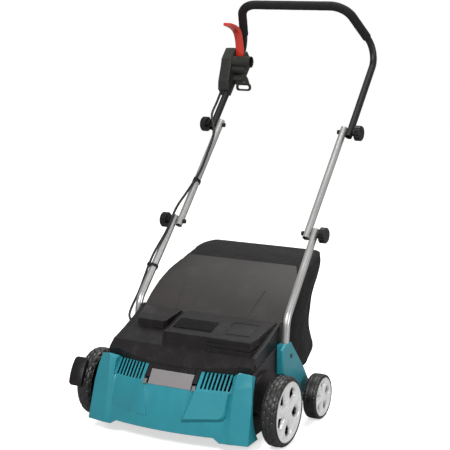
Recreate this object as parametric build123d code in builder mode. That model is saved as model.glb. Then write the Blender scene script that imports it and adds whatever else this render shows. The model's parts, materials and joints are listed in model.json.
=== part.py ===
from build123d import *
from math import cos, pi, radians, sin, tan
import os

# Electric lawn dethatcher, about 32 cm working width: wheeled deck with a driven blade roller,
# rear bag and a three-piece folding handle.
# Frame: millimetres, +Z up, the machine faces -Y, X = 0 is the middle plane,
# the ground is Z = 0 and the origin is under the middle of the overall length.

# ---------------------------------------------------------------- driving dimensions
FRONT_AXLE_Y = -304.5        # every other place along the machine is given behind this axle
WALL = 3.0                   # moulded plastic covers
RUN = 0.05                   # radial clearance of a shaft in its bearing

FRONT_WHEEL_R = 90.0
FRONT_RIM_R = 79.0
FRONT_WHEEL_X = (246.0, 288.0)
REAR_AXLE = (226.5, 60.0)
REAR_WHEEL_R = 60.0
REAR_RIM_R = 53.0
REAR_WHEEL_X = (250.0, 287.0)
AXLE_R = 6.0
FRONT_AXLE = (0.0, FRONT_WHEEL_R)
CRANK_PIVOT = (-38.0, 84.0)
CRANK_X = (237.0, 243.0)

DECK_X = (203.0, 207.0)      # inner and outer face of a deck side wall
ROLLER = (112.0, 62.0)
ROLLER_SHAFT_R = 8.0
BLADE_TIP_R = 57.0
BLADE_COUNT = 14
BLADE_PITCH = 24.0
BLADE_T = 3.0
BLADE_STEP = 38.6            # degrees that each blade is turned from the one beside it

MOTOR = (12.0, 150.0)
MOTOR_R = 44.0
MOTOR_SHAFT_R = 5.0
DRIVE_PULLEY_R = 12.0
DRIVEN_PULLEY_R = 28.0
PULLEY_X = (-224.0, -213.0)

FLAP_HINGE = (128.0, 270.0)
HINGE_PIN_R = 4.0
FLAP_HALF = 202.0

TUBE_R = 10.0
TUBE_WALL = 1.5
OUTER_TUBE_X = 215.0         # lower and upper handle tubes
INNER_TUBE_X = 194.0         # middle tubes, beside them
LOWER_JOINT = (318.0, 476.0)
HANDLE_STEP = 346.5          # lower to upper fold joint, along the 45 degree handle
TUBE_END = 15.0              # what a tube end reaches past its joint
BOLT_R = 4.0
FOAM_R = 13.0
KNOB_R = 21.5
KNOB_X = (226.0, 233.0, 251.0)

BOX_X = (-240.0, -180.0)
BOX_SPLIT = -215.0
BOX_STEP = -206.0            # inside this the box is set back behind the inlet
LEVER_X = (-205.0, -183.5)
LEVER_PIVOT = (578.0, 32.0)
LEVER_PIN_R = 3.0
INLET_R = 17.0
INLET_BORE_R = 13.5
INLET_MOUTH_R = 14.5
INLET_X = (-206.0, -149.0)
CABLE_R = 3.5


# ---------------------------------------------------------------- places and small tools
def side(x=0.0):
    """Plane of a side view: local x runs back from the front axle, local y up, normal +X."""
    return Plane(origin=(x, FRONT_AXLE_Y, 0), x_dir=(0, 1, 0), z_dir=(1, 0, 0))


def top(z=0.0):
    """Plane of a top view: local x is X, local y runs back from the front axle."""
    return Plane(origin=(0, FRONT_AXLE_Y, z), x_dir=(1, 0, 0), z_dir=(0, 0, 1))


def side_front():
    """Plane of a front view over the front axle: local x is X, local y up, normal -Y."""
    return Plane(origin=(0, FRONT_AXLE_Y, 0), x_dir=(1, 0, 0), z_dir=(0, -1, 0))


def handle(x=0.0):
    """Side plane on the handle line: local x runs up the handle from the lower joint."""
    origin = (x, FRONT_AXLE_Y + LOWER_JOINT[0], LOWER_JOINT[1])
    return Plane(origin=origin, x_dir=(0, 1, 1), z_dir=(1, 0, 0))


def place(x, behind, z):
    """A point given by X, distance behind the front axle, and height."""
    return Vector(x, FRONT_AXLE_Y + behind, z)


def on_handle(x, along, out):
    """A point given by X, distance up the handle, and distance in front of its line."""
    return handle(x).from_local_coords(Vector(along, out, 0))


def slab(plane, points, amount, both=False, mode=Mode.ADD):
    """Straight-sided outline, extruded into the part being built."""
    with BuildSketch(plane) as outline:
        Polygon(*points, align=None)
    extrude(outline.sketch, amount=amount, both=both, mode=mode)


def rod(plane, centre, radius, length, mode=Mode.ADD):
    """Round bar or bore along the plane's normal, in the part being built."""
    with BuildSketch(plane) as section:
        with Locations(centre):
            Circle(radius)
    extrude(section.sketch, amount=length, mode=mode)


def ring_sector(plane, centre, radii, angles, amount):
    """Piece of a ring between two radii and two angles, extruded into the part being built."""
    with BuildSketch(plane) as sector:
        with BuildLine():
            for radius in radii:
                CenterArc(centre, radius, angles[0], angles[1] - angles[0])
            for angle in angles:
                reach = Vector(cos(radians(angle)), sin(radians(angle)))
                Line(Vector(*centre) + reach * radii[0], Vector(*centre) + reach * radii[1])
        make_face()
    extrude(sector.sketch, amount=amount)


def corner_radii(points):
    """Bend radius at each corner of a cable route: 0.45 of its shorter run."""
    radii = []
    for before, here, after in zip(points, points[1:], points[2:]):
        turn = (here - before).get_angle(after - here)
        shorter = min((here - before).length, (after - here).length)
        radii.append(0.45 * shorter / tan(radians(turn / 2)))
    return radii


def finish(part, name):
    """Label a finished sub-part and write it."""
    part.label = name
    export_step(part, f"parts/{name}.step")


def mirrored(part, name):
    """Write the left-hand twin of a right-hand sub-part."""
    twin = mirror(part, about=Plane.YZ, mode=Mode.PRIVATE)
    finish(twin, name)


os.makedirs("parts", exist_ok=True)


# ---------------------------------------------------------------- deck
DECK_WALL = [(-54, 24), (-60, 140), (-48, 182), (-36, 190), (116, 226), (117.5, 282), (136, 282),
             (152, 240), (160, 180), (235, 104), (235, 40), (215, 24)]
ROOF_R = 66.0
ROOF_T = 4.0
LINER_R = (91.0, 94.5)

with BuildPart() as deck_housing:
    for wall_x in (-DECK_X[1], DECK_X[0]):
        slab(side(wall_x), DECK_WALL, DECK_X[1] - DECK_X[0])
    # curved roof over the roller and the wall behind the motor bay
    with BuildSketch(side()) as roof:
        with BuildLine():
            CenterArc(ROLLER, ROOF_R, 90, 90)
            Line((ROLLER[0] - ROOF_R, ROLLER[1]), (ROLLER[0] - ROOF_R, 28))
            Line((ROLLER[0] - ROOF_R, 28), (ROLLER[0] - ROOF_R - ROOF_T, 28))
            Line((ROLLER[0] - ROOF_R - ROOF_T, 28), (ROLLER[0] - ROOF_R - ROOF_T, ROLLER[1]))
            CenterArc(ROLLER, ROOF_R + ROOF_T, 90, 90)
            Line((ROLLER[0], ROLLER[1] + ROOF_R + ROOF_T), (ROLLER[0], ROLLER[1] + ROOF_R))
        make_face()
    extrude(roof.sketch, amount=DECK_X[0], both=True)
    slab(side(), [(108, 128), (112, 128), (112.4, 262), (108.4, 262)], DECK_X[0], both=True)
    slab(side(), [(-54, 24), (46, 24), (46, 28), (-54, 28)], DECK_X[0], both=True)
    slab(side(), [(222, 84), (226, 84), (226, 100), (222, 100)], DECK_X[0], both=True)
    for arm in (-1, 1):
        # rest that the bag frame hangs on
        slab(side(arm * DECK_X[0]), [(146, 238), (156.5, 240), (156.5, 245.8), (146, 245.8)], arm * -16.0)
    # holes for the axles, the roller shaft, the motor shaft and the flap hinge pins
    rod(side(-DECK_X[1] - 1), REAR_AXLE, AXLE_R, 2 * DECK_X[1] + 2, mode=Mode.SUBTRACT)
    rod(side(-DECK_X[1] - 1), CRANK_PIVOT, AXLE_R + RUN, 2 * DECK_X[1] + 2, mode=Mode.SUBTRACT)
    rod(side(-DECK_X[1] - 1), FLAP_HINGE, HINGE_PIN_R + RUN, 2 * DECK_X[1] + 2, mode=Mode.SUBTRACT)
    rod(side(-DECK_X[1] - 1), ROLLER, ROLLER_SHAFT_R + 1, 8, mode=Mode.SUBTRACT)
    rod(side(-DECK_X[1] - 1), MOTOR, MOTOR_SHAFT_R + 1, 8, mode=Mode.SUBTRACT)
finish(deck_housing.part, "deck_housing")

with BuildPart() as wheel_arch_liners:
    for arm in (-1, 1):
        ring_sector(side(arm * DECK_X[1]), FRONT_AXLE, LINER_R, (70, 205), arm * 14.0)
finish(wheel_arch_liners.part, "wheel_arch_liners")


# ---------------------------------------------------------------- front hood
HOOD_BACK = -36.0
HOOD_BOW = 17.0              # how far the front face bends back at BOW_X
BOW_X = 161.0
HORN_X = 169.0               # the horns stand outside this, the grilles between
PANEL_X = 76.0               # the grey panel and its clips sit inside this
BED_LOW = (-101.0, 150.0)    # the grilles' sloped bed on the middle plane
BED_HIGH = (-71.0, 184.0)
SLOT_COUNT = 8
SLOT_W = 5.8
SLOT_PITCH = 10.3
SIDE_CUT = (30.0, 100.0)     # centre of the hollowed rear edge of the hood's sides
SIDE_CUT_R = 115.0
HOOD_LEVELS = ((30.0, -146.4, (179.0, -128.0), (230.0, -118.0)),
               (126.0, -109.9, (178.0, -103.0), (226.0, -90.0)),
               (165.0, -95.1, (181.0, -92.0), (221.0, -77.0)),
               (206.0, -79.5, (184.0, -78.0), (212.0, -58.0)))
MIDDLE_EDGE = 41.0           # height of the hood's lower edge between its two feet


def bow(x):
    """How far the hood's front face has bent back at this distance from the middle."""
    return HOOD_BOW * (x / BOW_X) ** 2


PAD_CORNER = 26.0            # round outer low corner of each pad under a grille


def nostril(arm):
    """Raised bevelled pad under one grille."""
    lean = 2 * HOOD_BOW * 112 / BOW_X ** 2
    face = Plane(origin=place(arm * 112, -107.8, 110), x_dir=(1, arm * lean, 0),
                 z_dir=(arm * lean, -1, 0.38))
    with BuildPart() as pad:
        with BuildSketch(face) as outline:
            Polygon((arm * -37, 47), (arm * -65, -44), (arm * 52, -32), (arm * 61, 47), align=None)
            # only the outer one of the two low corners is round
            fillet(outline.vertices().sort_by(Axis.Y)[1], radius=PAD_CORNER)
        extrude(outline.sketch, amount=10.5, taper=33)
        extrude(outline.sketch, amount=-1.5)
    return pad.part


def hood_volume(inset):
    """Solid of the hood's outside, or of its hollow when inset by the wall."""
    outlines = []
    for z, middle, ridge, corner in HOOD_LEVELS:
        half = corner[0] - inset
        bow_x = BOW_X - inset / 2
        bow_y = middle + HOOD_BOW + inset
        ridge_x = ridge[0] - inset / 2
        with BuildSketch(top(z)) as outline:
            with BuildLine():
                ThreePointArc((-bow_x, bow_y), (0, middle + inset), (bow_x, bow_y))
                Polyline((bow_x, bow_y), (ridge_x, ridge[1] + inset), (half, corner[1] + inset),
                         (half, HOOD_BACK), (-half, HOOD_BACK), (-half, corner[1] + inset),
                         (-ridge_x, ridge[1] + inset), (-bow_x, bow_y))
            make_face()
        outlines.append(outline.sketch)
    slope = (BED_HIGH[0] - BED_LOW[0]) / (BED_HIGH[1] - BED_LOW[1])
    beds = []
    for z in (BED_LOW[1] - 2, BED_HIGH[1] - inset):
        bed_y = BED_LOW[0] + slope * (z - BED_LOW[1]) + 1.33 * inset
        half = HORN_X + inset
        with BuildSketch(top(z)) as bed:
            with BuildLine():
                ThreePointArc((-half, bed_y + bow(half)), (0, bed_y), (half, bed_y + bow(half)))
                Polyline((half, bed_y + bow(half)), (half, -200), (-half, -200),
                         (-half, bed_y + bow(half)))
            make_face()
        beds.append(bed.sketch)
    with BuildPart() as volume:
        loft(outlines, ruled=True)
        if inset == 0:
            add(nostril(-1))
            add(nostril(1))
        # sloped bed of the grilles between the horns
        loft(beds, ruled=True, mode=Mode.SUBTRACT)
        slab(side(), [(-200, BED_HIGH[1] - inset), (0, BED_HIGH[1] - inset), (0, 400), (-200, 400)],
             HORN_X + inset, both=True, mode=Mode.SUBTRACT)
        # flat step in the middle for the grey panel
        slab(side(), [(-200, 143 - inset), (0, 143 - inset), (0, 400), (-200, 400)],
             PANEL_X + inset, both=True, mode=Mode.SUBTRACT)
        # horns peak a little inside their corners, and end where the motor cover starts
        slab(side_front(), [(-250, 180 - inset), (-190, 203 - inset), (-169, 187 - inset),
                            (169, 187 - inset), (190, 203 - inset), (250, 180 - inset), (250, 400),
                            (-250, 400)], 300, both=True, mode=Mode.SUBTRACT)
        slab(side(), [(-50, 150), (0, 150), (0, 400), (-50, 400)], 207.5,
             both=True, mode=Mode.SUBTRACT)
        slab(side(), [(-90, 207 - inset), (-30, 177 - inset), (-30, 400), (-90, 400)], 300,
             both=True, mode=Mode.SUBTRACT)
    return volume.part


with BuildPart() as front_hood:
    add(hood_volume(0))
    add(hood_volume(WALL), mode=Mode.SUBTRACT)
    for arm in (-1, 1):
        # hollowed rear edge of the side, and the grille's slots
        rod(side(arm * 206.5), SIDE_CUT, SIDE_CUT_R, arm * 60, mode=Mode.SUBTRACT)
        for slot in range(SLOT_COUNT):
            slot_x = 88 + SLOT_PITCH * slot
            back = bow(slot_x)
            slab(side(arm * slot_x - SLOT_W / 2),
                 [(back - 96, 146), (back - 104, 152), (back - 74, 186), (back - 65, 186),
                  (back - 65, 178)], SLOT_W, mode=Mode.SUBTRACT)
    # raised middle of the lower edge
    slab(side_front(), [(-157, 0), (-157, 30), (-139, MIDDLE_EDGE), (139, MIDDLE_EDGE), (157, 30),
                        (157, 0)], 300, both=True, mode=Mode.SUBTRACT)
finish(front_hood.part, "front_hood")

with BuildPart() as front_panel:
    slab(side(), [(-102, 143.3), (-77.5, 177.2), (-75.5, 174), (-95, 143.3)], 61, both=True)
finish(front_panel.part, "front_panel")

with BuildPart() as trim_clips:
    for arm in (-1, 1):
        slab(side(arm * 70 - 4.5), [(-106, 143.3), (-98, 154), (-90, 154), (-96, 143.3)], 9)
finish(trim_clips.part, "trim_clips")


# ---------------------------------------------------------------- motor cover
COVER_HALF = 206.0
COVER_EDGE = -69.0           # front edge on the middle plane, where the cover meets the grilles
BLOCK_TOP = [(-4, 259), (20, 261), (71, 273.5)]
SIDE_SCREW = (-26, 204)


def cover_volume(inset):
    """Solid of the cover's outside, or of its hollow when inset by the wall."""
    horn_x = HORN_X - 0.5 - inset
    with BuildPart() as volume:
        slab(side(), [(-74, 186 - 1.4 * inset), (-26, 224 - 1.3 * inset), (0, 232 - inset),
                      (30, 242 - inset), (116 - inset, 276 - inset), (116 - inset, 100),
                      (-74, 100)], COVER_HALF - inset, both=True)
        for arm in (-1, 1):
            slab(top(50), [(arm * horn_x, -90), (arm * 300, -90), (arm * 300, -48.5 + inset),
                           (arm * horn_x, -48.5 + inset)], 400, mode=Mode.SUBTRACT)
        # front edge bends back over the grilles like the hood under it
        edge_y = COVER_EDGE + inset
        with BuildSketch(top(50)) as front_edge:
            with BuildLine():
                ThreePointArc((-HORN_X, edge_y + bow(HORN_X)), (0, edge_y), (HORN_X, edge_y + bow(HORN_X)))
                Polyline((HORN_X, edge_y + bow(HORN_X)), (HORN_X, -120), (-HORN_X, -120),
                         (-HORN_X, edge_y + bow(HORN_X)))
            make_face()
        extrude(front_edge.sketch, amount=400, mode=Mode.SUBTRACT)
        add(cover_blocks(inset))
    return volume.part


def cover_blocks(inset):
    """The middle block, the stepped right-hand block and the left-hand box on the cover."""
    with BuildPart() as roof:
        slab(side(), [(y, z - inset) for y, z in BLOCK_TOP]
             + [(116 - inset, 281 - inset), (116 - inset, 180), (-60, 180), (-60, 259 - inset)],
             300, both=True)
    with BuildPart() as blocks:
        slab(side(), [(-25 + inset, 215), (-25 + inset, 225 - inset), (-5 + inset, 290),
                      (118, 290), (118, 215)], 63 - inset, both=True)
        for step, (low, high) in enumerate(((215, 236), (236, 247), (247, 290))):
            slab(top(low - inset * (step > 0)),
                 [(60, 3 * step - 22 + inset), (193 - 4 * step - inset, 4 * step - 24 + inset),
                  (199 - inset, 118), (60, 118)], high - low)
        slab(top(215), [(-176 + inset, 50 + inset), (-168 + inset, 42 + inset),
                        (-96 - inset, 42 + inset), (-88 - inset, 50 + inset), (-78 - inset, 118),
                        (-190 + inset, 118)], 70)
        add(roof.part, mode=Mode.INTERSECT)
    return blocks.part


with BuildPart() as motor_cover:
    add(cover_volume(0))
    add(cover_volume(WALL), mode=Mode.SUBTRACT)
    # lower edge: level over the grilles, then climbing to the back
    slab(side(), [(-80, 185), (-49, 185), (-49, 189.5), (-36, 192), (116.5, 228), (116.5, 0),
                  (-80, 0)], 300, both=True, mode=Mode.SUBTRACT)
    # middle slope down to the grey panel
    slab(side(), [(-76.3, 178.2), (-26, 224), (-26, 219), (-73, 176)], 60, both=True)
    # narrow strips beside the grey panel
    for arm in (-1, 1):
        slab(side(arm * 61.5), [(-93.5, 160), (-60, 192), (-56, 188), (-88.5, 156)], arm * 13)
    # square inlay outlined on the top of the right-hand block
    slab(side(92), [(20, 259.8), (71, 272.3), (86, 274.8), (86, 290), (20, 290)], 78,
         mode=Mode.SUBTRACT)
    slab(side(98), [(26, 259.5), (26, 262.4), (71, 273.5), (80, 275), (80, 272.5), (71, 271)], 66)
    rod(side(-COVER_HALF), SIDE_SCREW, 2.5, 2 * COVER_HALF, mode=Mode.SUBTRACT)
finish(motor_cover.part, "motor_cover")

with BuildPart() as label_plate:
    slab(side(), [(22, 261.6), (69, 273.1), (69, 274.6), (22, 263.1)], 56, both=True)
finish(label_plate.part, "label_plate")


# ---------------------------------------------------------------- handle brackets and tubes
BRACKET_X = (207.3, 233.0)
BRACKET_BACK = [(134, 229), (146, 215), (216, 140), (250, 95), (250, 48), (204, 44), (176, 84),
                (138, 122)]
BRACKET_HOLE = (131, 193)
TUBE_FOOT = 168.0

with BuildPart() as handle_bracket:
    slab(side(BRACKET_X[0]), [(98, 150), (98, 226)] + BRACKET_BACK, 20)
    slab(side(BRACKET_X[0] + 18.5), [(83, 158), (79, 220), (94, 229)] + BRACKET_BACK,
         BRACKET_X[1] - BRACKET_X[0] - 18.5)
    outer_face = handle_bracket.faces().sort_by(Axis.X)[-1]
    fillet(outer_face.edges(), radius=3.5)
    rod(side(200), REAR_AXLE, AXLE_R, 40, mode=Mode.SUBTRACT)
    rod(side(222), BRACKET_HOLE, 3, 20, mode=Mode.SUBTRACT)

lower_route = [Vector(220, FRONT_AXLE_Y + 114, TUBE_FOOT), Vector(219.5, FRONT_AXLE_Y + 130, 288),
               on_handle(OUTER_TUBE_X, TUBE_END, 0)]
with BuildPart() as lower_tube:
    with BuildLine() as lower_axis:
        FilletPolyline(*lower_route, radius=62)
    with BuildSketch(Plane(origin=lower_axis.line @ 0, z_dir=lower_axis.line % 0)):
        Circle(TUBE_R)
        Circle(TUBE_R - TUBE_WALL, mode=Mode.SUBTRACT)
    sweep(path=lower_axis.wire())
    rod(side(OUTER_TUBE_X - 20), LOWER_JOINT, BOLT_R, 40, mode=Mode.SUBTRACT)

with BuildPart() as lower_core:
    with BuildSketch(Plane(origin=lower_axis.line @ 0, z_dir=lower_axis.line % 0)):
        Circle(TUBE_R)
    sweep(path=lower_axis.wire())

with BuildPart() as bored_bracket:
    add(handle_bracket.part)
    add(lower_core.part, mode=Mode.SUBTRACT)
finish(bored_bracket.part, "handle_bracket_right")
mirrored(bored_bracket.part, "handle_bracket_left")
finish(lower_tube.part, "lower_tube_right")
mirrored(lower_tube.part, "lower_tube_left")

with BuildPart() as middle_tube:
    with BuildSketch(Plane(origin=on_handle(INNER_TUBE_X, -TUBE_END, 0), z_dir=(0, 1, 1))):
        Circle(TUBE_R)
        Circle(TUBE_R - TUBE_WALL, mode=Mode.SUBTRACT)
    extrude(amount=HANDLE_STEP + 2 * TUBE_END)
    for joint in (0, HANDLE_STEP):
        rod(handle(INNER_TUBE_X - 20), (joint, 0), BOLT_R + RUN, 40, mode=Mode.SUBTRACT)
finish(middle_tube.part, "middle_tube_right")
mirrored(middle_tube.part, "middle_tube_left")

UPPER_CORNER = place(214, 772, 933)
TOP_CORNER = place(162.5, 641, 1068)
HANDLE_BEND = 60.0
foam_start = UPPER_CORNER + (TOP_CORNER - UPPER_CORNER).normalized() * (HANDLE_BEND + 1)


def other_side(point):
    """The same point on the left-hand side."""
    return Vector(-point.X, point.Y, point.Z)


upper_end = on_handle(OUTER_TUBE_X, HANDLE_STEP - TUBE_END, 0)
upper_right = [upper_end, UPPER_CORNER, TOP_CORNER]
upper_route = [other_side(point) for point in upper_right] + upper_right[::-1]
with BuildPart() as upper_handle_tube:
    with BuildLine() as upper_axis:
        FilletPolyline(*upper_route, radius=HANDLE_BEND)
    with BuildSketch(Plane(origin=upper_axis.line @ 0, z_dir=upper_axis.line % 0)):
        Circle(TUBE_R)
        Circle(TUBE_R - TUBE_WALL, mode=Mode.SUBTRACT)
    sweep(path=upper_axis.wire())
    for arm in (-1, 1):
        rod(handle(arm * OUTER_TUBE_X - 20), (HANDLE_STEP, 0), BOLT_R, 40, mode=Mode.SUBTRACT)
finish(upper_handle_tube.part, "upper_handle_tube")

foam_route = [other_side(foam_start), other_side(TOP_CORNER), TOP_CORNER, foam_start]
with BuildPart() as foam_grip:
    with BuildLine() as foam_axis:
        FilletPolyline(*foam_route, radius=HANDLE_BEND)
    with BuildSketch(Plane(origin=foam_axis.line @ 0, z_dir=foam_axis.line % 0)):
        Circle(FOAM_R)
        Circle(TUBE_R, mode=Mode.SUBTRACT)
    sweep(path=foam_axis.wire())
finish(foam_grip.part, "foam_grip")


# ---------------------------------------------------------------- fold joints: bolts and knobs
def bolts(along):
    """The two clamp bolts of one fold joint, heads inside, threads out through the knobs."""
    with BuildPart() as pair:
        for arm in (-1, 1):
            rod(handle(arm * 178), (along, 0), 6.5, arm * 5.5)
            rod(handle(arm * 183), (along, 0), BOLT_R, arm * 64)
    return pair.part


def knob(along):
    """Right-hand wing knob: neck, fluted grip and the bore for its bolt."""
    with BuildPart() as grip:
        rod(handle(KNOB_X[0]), (along, 0), 10, KNOB_X[1] - KNOB_X[0])
        rod(handle(KNOB_X[1]), (along, 0), KNOB_R, KNOB_X[2] - KNOB_X[1])
        chamfer(grip.faces().sort_by(Axis.X)[-1].edges(), length=2.5)
        with BuildSketch(handle(KNOB_X[1] - 1)) as flutes:
            with Locations((along, 0)):
                with PolarLocations(KNOB_R + 1.0, 12):
                    Circle(2.6)
        extrude(flutes.sketch, amount=30, mode=Mode.SUBTRACT)
        rod(handle(KNOB_X[0] - 1), (along, 0), BOLT_R + RUN, 22.2, mode=Mode.SUBTRACT)
    return grip.part


finish(bolts(0), "lower_clamp_bolts")
finish(bolts(HANDLE_STEP), "upper_clamp_bolts")
for level, along in (("lower", 0), ("upper", HANDLE_STEP)):
    wing = knob(along)
    finish(wing, f"knob_{level}_right")
    mirrored(wing, f"knob_{level}_left")


# ---------------------------------------------------------------- wheels
def tyre(centre, radius, rim_radius, span):
    """Right-hand tyre with rounded shoulders."""
    with BuildPart() as ring:
        with BuildSketch(side(span[0])) as section:
            with Locations(centre):
                Circle(radius)
                Circle(rim_radius, mode=Mode.SUBTRACT)
        extrude(section.sketch, amount=span[1] - span[0])
        fillet(ring.edges().filter_by(GeomType.CIRCLE).group_by(SortBy.RADIUS)[-1], radius=5)
    return ring.part


def rim(centre, radius, span, closed):
    """Right-hand rim: barrel, five broad spokes and a hub bored for the axle."""
    hub_r = 0.28 * radius
    window_in = 0.34 * radius
    window_out = 0.80 * radius
    with BuildPart() as wheel:
        with BuildSketch(side(span[0] + 1)) as barrel:
            with Locations(centre):
                Circle(radius)
                Circle(radius - 3.5, mode=Mode.SUBTRACT)
        extrude(barrel.sketch, amount=span[1] - span[0] - 1)
        with BuildSketch(side(span[1] - 12)) as disc:
            with Locations(centre):
                Circle(radius - 2)
                with PolarLocations(0, 5, start_angle=18):
                    with Locations(((window_in + window_out) / 2, 0)):
                        Trapezoid(0.30 * radius, window_out - window_in, 80, rotation=90,
                                  mode=Mode.SUBTRACT)
        extrude(disc.sketch, amount=8)
        rod(side(span[0]), centre, hub_r, span[1] - span[0] - 1)
        bore_end = span[1] - 5 if closed else span[1] + 1
        rod(side(span[0] - 1), centre, AXLE_R + RUN, bore_end - span[0] + 1, mode=Mode.SUBTRACT)
    return wheel.part


front_tyre = tyre(FRONT_AXLE, FRONT_WHEEL_R, FRONT_RIM_R, FRONT_WHEEL_X)
finish(front_tyre, "front_tyre_right")
mirrored(front_tyre, "front_tyre_left")
finish(rim(FRONT_AXLE, FRONT_RIM_R, FRONT_WHEEL_X, True), "front_rim_right")
mirrored(rim(FRONT_AXLE, FRONT_RIM_R, FRONT_WHEEL_X, False), "front_rim_left")
rear_tyre = tyre(REAR_AXLE, REAR_WHEEL_R, REAR_RIM_R, REAR_WHEEL_X)
finish(rear_tyre, "rear_tyre_right")
mirrored(rear_tyre, "rear_tyre_left")
rear_rim = rim(REAR_AXLE, REAR_RIM_R, REAR_WHEEL_X, True)
finish(rear_rim, "rear_rim_right")
mirrored(rear_rim, "rear_rim_left")

with BuildPart() as rear_axle:
    rod(side(-281.5), REAR_AXLE, AXLE_R, 563)
finish(rear_axle.part, "rear_axle")

with BuildPart() as front_axle:
    rod(side(-CRANK_X[1]), CRANK_PIVOT, AXLE_R, 2 * CRANK_X[1])
    for arm in (-1, 1):
        with BuildSketch(side(arm * CRANK_X[0])) as crank:
            with Locations(CRANK_PIVOT, FRONT_AXLE):
                Circle(10)
            make_hull()
        extrude(crank.sketch, amount=arm * (CRANK_X[1] - CRANK_X[0]))
    rod(side(CRANK_X[0]), FRONT_AXLE, AXLE_R, 282.5 - CRANK_X[0])
    rod(side(-CRANK_X[0]), FRONT_AXLE, AXLE_R, CRANK_X[0] - 298)
finish(front_axle.part, "front_axle")

LEVER_ARM_X = (-299.5, -289.5)
LEVER_SWEEP = (128, 172)
with BuildPart() as finger_grip:
    ring_sector(side(LEVER_ARM_X[0]), FRONT_AXLE, (93.5, 104.0), LEVER_SWEEP, 38)
    fillet(finger_grip.edges().filter_by(GeomType.LINE).filter_by(Axis.X, reverse=True), radius=9)

with BuildPart() as depth_lever:
    with BuildSketch(side(LEVER_ARM_X[0])) as arm_plate:
        with Locations(FRONT_AXLE):
            Circle(17)
        with Locations((-62, 146), (-78, 118)):
            Circle(14)
        make_hull()
    extrude(arm_plate.sketch, amount=LEVER_ARM_X[1] - LEVER_ARM_X[0])
    # finger grip that stands in front of the tyre, and the web it is carried by
    add(finger_grip.part)
    ring_sector(side(LEVER_ARM_X[0]), FRONT_AXLE, (60.0, 98.0), LEVER_SWEEP,
                LEVER_ARM_X[1] - LEVER_ARM_X[0])
    rod(side(LEVER_ARM_X[0] + 1), FRONT_AXLE, AXLE_R, 20, mode=Mode.SUBTRACT)
finish(depth_lever.part, "depth_lever")


# ---------------------------------------------------------------- roller, motor and belt
with BuildPart() as roller_shaft:
    rod(side(PULLEY_X[0] - 1), ROLLER, ROLLER_SHAFT_R, 203 - PULLEY_X[0])
finish(roller_shaft.part, "roller_shaft")

with BuildPart() as roller_bearings:
    for arm in (-1, 1):
        rod(side(arm * 190), ROLLER, 22, arm * 13)
        rod(side(arm * 180), ROLLER, ROLLER_SHAFT_R + RUN, arm * 30, mode=Mode.SUBTRACT)
finish(roller_bearings.part, "roller_bearings")

first_blade_x = -BLADE_PITCH * (BLADE_COUNT - 1) / 2
with BuildPart() as roller_blades:
    for number in range(BLADE_COUNT):
        turned = side(first_blade_x + number * BLADE_PITCH - BLADE_T / 2)
        with BuildSketch(turned) as blade:
            with Locations(ROLLER):
                with PolarLocations(0, 2, start_angle=number * BLADE_STEP):
                    Polygon((-2, -13), (26, -11), (50, -9), (BLADE_TIP_R - 1.5, 5), (44, 3),
                            (22, 12), (-2, 13), align=None)
                Circle(15)
                Circle(ROLLER_SHAFT_R, mode=Mode.SUBTRACT)
        extrude(blade.sketch, amount=BLADE_T)
finish(roller_blades.part, "roller_blades")

with BuildPart() as roller_spacers:
    for number in range(BLADE_COUNT + 1):
        start_x = first_blade_x + (number - 1) * BLADE_PITCH + BLADE_T / 2
        with BuildSketch(side(start_x)) as sleeve:
            with Locations(ROLLER):
                Circle(13)
                Circle(ROLLER_SHAFT_R, mode=Mode.SUBTRACT)
        extrude(sleeve.sketch, amount=BLADE_PITCH - BLADE_T)
finish(roller_spacers.part, "roller_spacers")

with BuildPart() as driven_pulley:
    rod(side(PULLEY_X[0]), ROLLER, DRIVEN_PULLEY_R, PULLEY_X[1] - PULLEY_X[0])
    rod(side(PULLEY_X[0]), ROLLER, ROLLER_SHAFT_R, 20, mode=Mode.SUBTRACT)
finish(driven_pulley.part, "driven_pulley")

with BuildPart() as drive_pulley:
    rod(side(PULLEY_X[0]), MOTOR, DRIVE_PULLEY_R, PULLEY_X[1] - PULLEY_X[0])
    rod(side(PULLEY_X[0]), MOTOR, MOTOR_SHAFT_R, 20, mode=Mode.SUBTRACT)
finish(drive_pulley.part, "drive_pulley")

BELT_GAP = 0.3
BELT_T = 3.0
with BuildPart() as drive_belt:
    with BuildSketch(side(PULLEY_X[0] + 1)) as belt_outside:
        with Locations(ROLLER):
            Circle(DRIVEN_PULLEY_R + BELT_GAP + BELT_T)
        with Locations(MOTOR):
            Circle(DRIVE_PULLEY_R + BELT_GAP + BELT_T)
        make_hull()
    extrude(belt_outside.sketch, amount=9)
    with BuildSketch(side(PULLEY_X[0] + 1)) as belt_inside:
        with Locations(ROLLER):
            Circle(DRIVEN_PULLEY_R + BELT_GAP)
        with Locations(MOTOR):
            Circle(DRIVE_PULLEY_R + BELT_GAP)
        make_hull()
    extrude(belt_inside.sketch, amount=9, mode=Mode.SUBTRACT)
finish(drive_belt.part, "drive_belt")


def belt_case(inset):
    """Rounded case round both pulleys, or its hollow when inset."""
    with BuildPart() as case:
        with BuildSketch(side(-DECK_X[1])) as outline:
            with Locations(ROLLER):
                Circle(38 - inset)
            with Locations(MOTOR):
                Circle(24 - inset)
            make_hull()
        extrude(outline.sketch, amount=inset - 24)
    return case.part


with BuildPart() as belt_cover:
    add(belt_case(0))
    add(belt_case(2.5), mode=Mode.SUBTRACT)
finish(belt_cover.part, "belt_cover")

with BuildPart() as motor_housing:
    rod(side(-110), MOTOR, MOTOR_R, 170)
    rod(side(-106), MOTOR, MOTOR_R - 16, 162, mode=Mode.SUBTRACT)
    rod(side(-120), MOTOR, MOTOR_SHAFT_R + RUN, 200, mode=Mode.SUBTRACT)
    slab(side(-90), [(-6, 28), (30, 28), (30, 112), (-6, 112)], 12)
    slab(side(30), [(-6, 28), (30, 28), (30, 112), (-6, 112)], 12)
finish(motor_housing.part, "motor_housing")

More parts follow.
